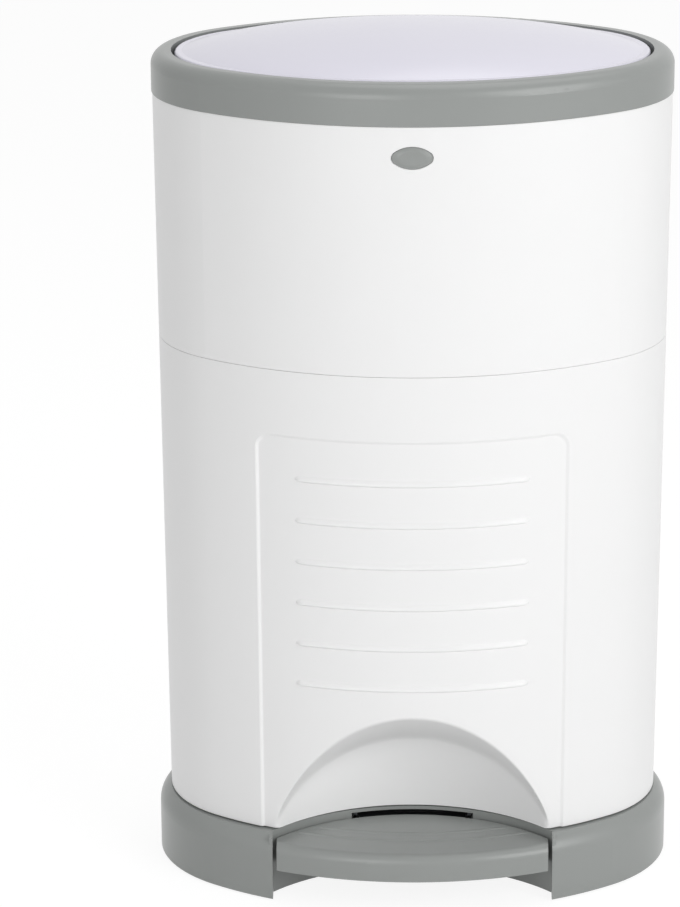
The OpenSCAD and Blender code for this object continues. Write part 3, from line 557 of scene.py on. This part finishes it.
def ribColumn(x):
    # outer and inner points of the rib at a width x
    p, n = wallAt(x)
    tip = smooth((ribs["halfWide"] - abs(x)) / ribs["end"])
    peak = ribs["peak"]
    top, under = [], []
    for k in range(ribs["across"] + 1):
        t = 2 * k / ribs["across"] - 1
        height = ribs["height"] * (ribs["tipHeight"] + (1 - ribs["tipHeight"]) * tip)
        z = ribs["lowest"] + t * height / 2
        share = (t - peak) / (1 - peak) if t > peak else (peak - t) / (1 + peak)
        lift = ribs["proud"] * tip * max(0.0, math.cos(share * math.pi / 2)) ** ribs["fullness"]
        base = p + n * (-inset(z) - panel["sink"])
        top.append((*(base + n * (lift - ribs["sink"])), z))
        under.append((*(base - n * ribs["root"]), z))
    return top, under


def oneRib():
    # a soft bead across the panel, tapered at both ends, with its root just under the panel
    columns = []
    for i in range(ribs["along"] + 1):
        share = 2 * i / ribs["along"] - 1
        x = math.copysign(ribs["halfWide"] * abs(share) ** ribs["crowding"], share)
        columns.append(ribColumn(x))
    outer, inner = zip(*columns)
    return meshObject("ribSeed", *closedGrid(outer, inner), finishes["white_pp"], 60)


def addSocket(tree, name, kind, value=None):
    item = tree.interface.new_socket(name, in_out="INPUT", socket_type=kind)
    if value is not None:
        item.default_value = value
    return item


def repeatTree(name):
    # copies the mesh it is given along a straight row, and gives the copies one finish
    tree = bpy.data.node_groups.new(name, "GeometryNodeTree")
    addSocket(tree, "Seed", "NodeSocketGeometry")
    addSocket(tree, "Count", "NodeSocketInt", 1)
    addSocket(tree, "Step", "NodeSocketVector")
    addSocket(tree, "Finish", "NodeSocketMaterial")
    tree.interface.new_socket("Copies", in_out="OUTPUT", socket_type="NodeSocketGeometry")
    given = addNode(tree, "NodeGroupInput").outputs
    row = addNode(tree, "GeometryNodeMeshLine", {"mode": "OFFSET"},
                  {"Count": given["Count"], "Offset": given["Step"]})
    copies = addNode(tree, "GeometryNodeInstanceOnPoints", None,
                     {"Points": row.outputs[0], "Instance": given["Seed"]})
    solid = addNode(tree, "GeometryNodeRealizeInstances", None, {"Geometry": copies.outputs[0]})
    painted = addNode(tree, "GeometryNodeSetMaterial", None,
                      {"Geometry": solid.outputs[0], "Material": given["Finish"]})
    addNode(tree, "NodeGroupOutput", None, {"Copies": painted.outputs[0]})
    return tree


def grown(seed, tree, values, name):
    # evaluates the tree on the seed and keeps the result as a plain mesh
    mod = seed.modifiers.new("grow", "NODES")
    mod.node_group = tree
    for item in tree.interface.items_tree:
        if item.item_type == "SOCKET" and item.in_out == "INPUT" and item.name in values:
            mod[item.identifier] = values[item.name]
    bpy.context.view_layer.update()
    ready = seed.evaluated_get(bpy.context.evaluated_depsgraph_get())
    mesh = bpy.data.meshes.new_from_object(ready)
    mesh.name = name
    seed.modifiers.remove(mod)
    obj = bpy.data.objects.new(name, mesh)
    bpy.context.scene.collection.objects.link(obj)
    bpy.data.objects.remove(seed)
    return obj


ribTree = repeatTree("ribRow")
leanStep = body["taper"] / body["rimZ"] * ribs["pitch"] / 1000
panelRibs = grown(oneRib(), ribTree, {
    "Count": ribs["count"],
    "Step": (0.0, -leanStep, ribs["pitch"] / 1000),
    "Finish": finishes["white_pp"],
}, "panelRibs")
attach(panelRibs, "door")
print("ribs:", len(panelRibs.data.polygons), "faces")


cap = {
    "halfWide": 16.2,
    "halfHigh": 8.7,
    "centreZ": 648.6,
    "face": -144.7,
    "proud": 1.5,
    "dish": 0.35,               # depth of the finger dish in the middle
    "brow": 0.66,               # share of the half width where the dish ends and the bevel starts
    "roll": 1.25,               # above 1 the bevel is rounded over at the brow
    "turnIn": 1.0,              # depth of the border behind the face
    "rings": 8,                 # in the dish, and as many in the bevel
    "sides": 96,
}


def capY(t):
    # depth of the button's face at a share t of its half width
    inner = max(0.0, 1 - (t / cap["brow"]) ** 2)
    fall = max(0.0, (t - cap["brow"]) / (1 - cap["brow"])) ** cap["roll"]
    return cap["face"] - cap["proud"] * (1 - fall) + cap["dish"] * inner


def buildCap():
    # the release button's face: a shallow finger dish, a bevel and a border turned into the hole
    dish = np.linspace(0, cap["brow"], cap["rings"] + 1)
    bevel = np.linspace(cap["brow"], 1, cap["rings"] + 1)[1:]
    rings = [(t, capY(t)) for t in (*dish, *bevel)] + [(1.0, cap["face"] + cap["turnIn"])]
    points = []
    for t, y in rings:
        for i in range(cap["sides"]):
            a = 2 * math.pi * i / cap["sides"]
            z = cap["centreZ"] + cap["halfHigh"] * t * math.sin(a)
            points.append((cap["halfWide"] * t * math.cos(a), y, z))
    faces = tubeFaces(len(rings), cap["sides"]) + [capFace(len(rings) - 1, cap["sides"])]
    return meshObject("buttonCap", points, faces, finishes["grey_pp"])


buttonCap = buildCap()
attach(buttonCap, "button")
print("button cap:", len(buttonCap.data.polygons), "faces")


coil = {
    "y": 66.0,
    "low": 32.2,
    "high": 54.7,
    "radius": 7.0,
    "wire": 1.4,
    "turns": 6,
    "closedPitch": 1.5,         # of the first and the last turn
    "steps": 40,                # to a turn
    "sides": 12,
    "seat": 55.0,               # underside of the deck, which the spring pushes against
    "keep": 0.49,               # share of its length that is left when the lever is up
}


def buildCoil():
    # compression spring under the deck: open turns between two closed ones
    turns, sides, half = coil["turns"], coil["sides"], coil["wire"] / 2
    openRise = coil["high"] - coil["low"] - coil["wire"] - 2 * coil["closedPitch"]
    turnEnds = [0, 1, turns - 1, turns]
    rises = np.cumsum([0, coil["closedPitch"], openRise, coil["closedPitch"]])
    rings = turns * coil["steps"] + 1
    points = []
    for k in range(rings):
        turn = k / coil["steps"]
        a = 2 * math.pi * turn
        mid = coil["low"] + half + float(np.interp(turn, turnEnds, rises))
        for i in range(sides):
            b = 2 * math.pi * i / sides
            r = coil["radius"] + half * math.cos(b)
            points.append((r * math.cos(a), coil["y"] + r * math.sin(a), mid + half * math.sin(b)))
    faces = tubeFaces(rings, sides) + [capFace(0, sides), capFace(rings - 1, sides)]
    return meshObject("pedalCoil", points, faces, finishes["spring_steel"])


pedalCoil = buildCoil()
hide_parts("pedal_spring")
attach(pedalCoil, "root")
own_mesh(pedalCoil)
print("pedal spring:", len(pedalCoil.data.polygons), "faces")


studio = {
    "floorSize": 40.0,
    "floorColour": "#f7f7f7",
    "floorGlow": 0.8,           # share of the glow where the floor is seen straight
    "glowStrength": 1.1,
    "worldStrength": 0.45,
    "darkHalfWide": 0.205,      # the floor doesn't glow under the base
    "darkHalfDeep": 0.145,
    "darkFront": -0.055,
}
white = (1, 1, 1, 1)


def directRay(tree):
    # 1 where the background is seen straight, in a shiny surface or through a clear one
    path = addNode(tree, "ShaderNodeLightPath").outputs
    first = addNode(tree, "ShaderNodeMath", {"operation": "ADD"},
                    {0: path["Is Camera Ray"], 1: path["Is Glossy Ray"]})
    return addNode(tree, "ShaderNodeMath", {"operation": "ADD", "use_clamp": True},
                   {0: first.outputs[0], 1: path["Is Transmission Ray"]}).outputs[0]


def litFloor(tree):
    # 0 on the floor that the base covers, where no light comes in, and 1 elsewhere
    where = addNode(tree, "ShaderNodeTexCoord").outputs["Object"]
    axes = addNode(tree, "ShaderNodeSeparateXYZ", None, {"Vector": where}).outputs
    squares = []
    for axis, half in (("X", studio["darkHalfWide"]), ("Y", studio["darkHalfDeep"])):
        share = addNode(tree, "ShaderNodeMath", {"operation": "DIVIDE", 1: half}, {0: axes[axis]})
        square = addNode(tree, "ShaderNodeMath", {"operation": "POWER", 1: 2.0},
                         {0: share.outputs[0]})
        squares.append(square.outputs[0])
    reach = addNode(tree, "ShaderNodeMath", {"operation": "ADD"}, {0: squares[0], 1: squares[1]})
    outside = addNode(tree, "ShaderNodeMath", {"operation": "GREATER_THAN", 1: 1.0},
                      {0: reach.outputs[0]})
    before = addNode(tree, "ShaderNodeMath", {"operation": "LESS_THAN", 1: studio["darkFront"]},
                     {0: axes["Y"]})
    return addNode(tree, "ShaderNodeMath", {"operation": "MAXIMUM"},
                   {0: outside.outputs[0], 1: before.outputs[0]}).outputs[0]


def paleWorld():
    # even white where it is seen, dimmer as a light
    world = bpy.data.worlds.new("studioWorld")
    bpy.context.scene.world = world
    world.use_nodes = True
    tree = world.node_tree
    tree.nodes.clear()
    dim = addNode(tree, "ShaderNodeBackground",
                  {"Color": white, "Strength": studio["worldStrength"]})
    bright = addNode(tree, "ShaderNodeBackground", {"Color": white, "Strength": 1.0})
    both = addNode(tree, "ShaderNodeMixShader", None,
                   {0: directRay(tree), 1: dim.outputs[0], 2: bright.outputs[0]})
    addNode(tree, "ShaderNodeOutputWorld", None, {"Surface": both.outputs[0]})


def paleFloor():
    # a matt floor that glows a little, so that it fades into the white behind
    half = studio["floorSize"] / 2
    mesh = bpy.data.meshes.new("studioFloor")
    corners = [(-half, -half, 0), (half, -half, 0), (half, half, 0), (-half, half, 0)]
    mesh.from_pydata(corners, [], [(0, 1, 2, 3)])
    floor = bpy.data.objects.new("studioFloor", mesh)
    bpy.context.scene.collection.objects.link(floor)
    mat = bpy.data.materials.new("paleFloor")
    mat.use_nodes = True
    tree = mat.node_tree
    tree.nodes.clear()
    lit = addNode(tree, "ShaderNodeMath", {"operation": "MULTIPLY"},
                  {0: directRay(tree), 1: litFloor(tree)})
    part = addNode(tree, "ShaderNodeMath", {"operation": "MULTIPLY", 1: studio["floorGlow"]},
                   {0: lit.outputs[0]})
    matt = addNode(tree, "ShaderNodeBsdfDiffuse", {"Color": hexToLinear(studio["floorColour"])})
    glow = addNode(tree, "ShaderNodeEmission", {"Color": white, "Strength": studio["glowStrength"]})
    both = addNode(tree, "ShaderNodeMixShader", None,
                   {0: part.outputs[0], 1: matt.outputs[0], 2: glow.outputs[0]})
    addNode(tree, "ShaderNodeOutputMaterial", None, {"Surface": both.outputs[0]})
    mesh.materials.append(mat)


lamps = {
    "keyLamp": {"at": (2.2, -2.2, 1.6), "aim": (0, 0, 0.35), "size": (1.8, 2.2), "power": 42},
    "fillLamp": {"at": (-0.9, -2.9, 1.1), "aim": (0, 0, 0.35), "size": (1.2, 1.6), "power": 16},
    "topLamp": {"at": (0.3, 0.4, 2.6), "aim": (0, 0, 0.4), "size": (1.6, 1.6), "power": 11},
}


def placeLamps():
    for name, lamp in lamps.items():
        light = bpy.data.lights.new(name, "AREA")
        light.shape = "RECTANGLE"
        light.size, light.size_y = lamp["size"]
        light.energy = lamp["power"]
        obj = bpy.data.objects.new(name, light)
        obj.location = lamp["at"]
        facing = Vector(lamp["aim"]) - Vector(lamp["at"])
        obj.rotation_euler = facing.to_track_quat("-Z", "Y").to_euler()
        bpy.context.scene.collection.objects.link(obj)


view = {
    "at": (0.0, -3.1952, 1.3849),
    "pitch": 17.847,            # degrees down
    "yaw": 1.05,                # degrees to the left
    "lens": 208.9,
    "sensor": 36.0,
}


def placeCamera():
    cam = bpy.data.cameras.new("camera")
    cam.sensor_fit = "HORIZONTAL"
    cam.sensor_width = view["sensor"]
    cam.lens = view["lens"]
    obj = bpy.data.objects.new("camera", cam)
    tilt = Matrix.Rotation(math.radians(90 - view["pitch"]), 4, "X")
    turn = Matrix.Rotation(math.radians(view["yaw"]), 4, "Y")
    obj.matrix_world = Matrix.Translation(view["at"]) @ tilt @ turn
    bpy.context.scene.collection.objects.link(obj)
    bpy.context.scene.camera = obj


paleWorld()
paleFloor()
placeLamps()
placeCamera()
bpy.context.scene.view_settings.view_transform = "Standard"
print("floor, lamps and camera placed")
